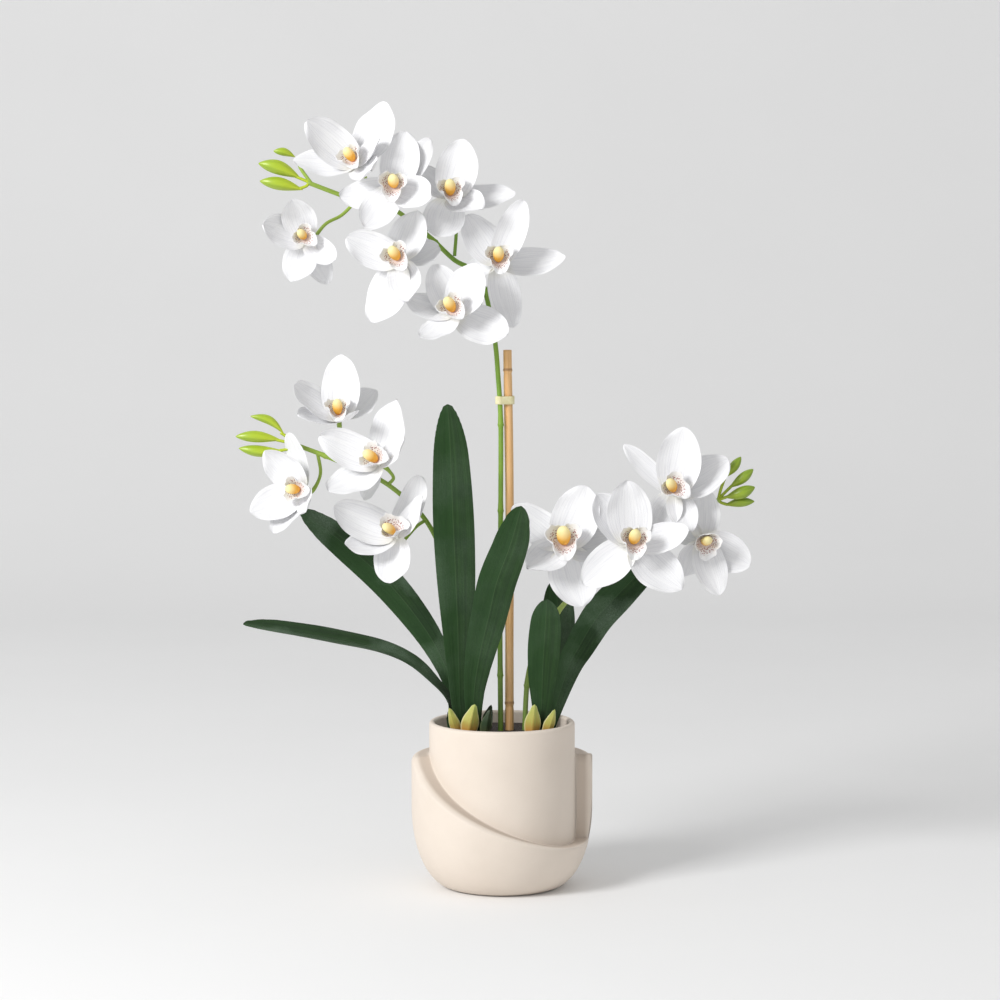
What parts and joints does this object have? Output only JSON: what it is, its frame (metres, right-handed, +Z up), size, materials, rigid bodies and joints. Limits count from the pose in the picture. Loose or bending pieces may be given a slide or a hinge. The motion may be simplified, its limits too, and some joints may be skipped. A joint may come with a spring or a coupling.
{
  "type": "potted orchid",
  "caption": "Artificial white orchid with three arching flower sprays, strap leaves and a bamboo stake, in a round ceramic pot with a swept ledge.",
  "frame": {"origin": "centre of the pot's flat base, on the surface that it stands on", "axes": "+Z up along the pot's axis and the stake, -Y the front that most flowers face, +X the front's right"},
  "size_m": [0.383, 0.1345, 0.5828],
  "materials": {
    "ceramic": "matte",
    "soil": "matte",
    "bamboo": "satin",
    "tape": "matte",
    "stem": "satin",
    "leaf": "satin",
    "sheath": "satin",
    "bud": "satin",
    "petal": "matte",
    "lip": "matte"
  },
  "bodies": {
    "root": {"pot": "ceramic", "soil": "soil", "bamboo_stake": "bamboo", "stake_tie": "tape", "leaf_low_left": "leaf", "leaf_left": "leaf", "leaf_tall": "leaf", "leaf_middle": "leaf", "leaf_short": "leaf", "leaf_right_back": "leaf", "leaf_right": "leaf", "sheath_1": "sheath", "sheath_2": "sheath", "sheath_3": "sheath", "sheath_4": "sheath", "sheath_5": "sheath", "sheath_6": "sheath", "flower_stem_top": "stem", "flower_stem_left": "stem", "flower_stem_right": "stem", "bud_top_1": "bud", "bud_top_2": "bud", "bud_top_3": "bud", "bud_left_1": "bud", "bud_left_2": "bud", "bud_left_3": "bud", "bud_right_1": "bud", "bud_right_2": "bud", "bud_right_3": "bud", "bud_right_4": "bud", "flower_01_petals": "petal", "flower_01_lip": "lip", "flower_02_petals": "petal", "flower_02_lip": "lip", "flower_03_petals": "petal", "flower_03_lip": "lip", "flower_04_petals": "petal", "flower_04_lip": "lip", "flower_05_petals": "petal", "flower_05_lip": "lip", "flower_06_petals": "petal", "flower_06_lip": "lip", "flower_07_petals": "petal", "flower_07_lip": "lip", "flower_08_petals": "petal", "flower_08_lip": "lip", "flower_09_petals": "petal", "flower_09_lip": "lip", "flower_10_petals": "petal", "flower_10_lip": "lip", "flower_11_petals": "petal", "flower_11_lip": "lip", "flower_12_petals": "petal", "flower_12_lip": "lip", "flower_13_petals": "petal", "flower_13_lip": "lip", "flower_14_petals": "petal", "flower_14_lip": "lip", "flower_15_petals": "petal", "flower_15_lip": "lip"}
  },
  "joints": []
}
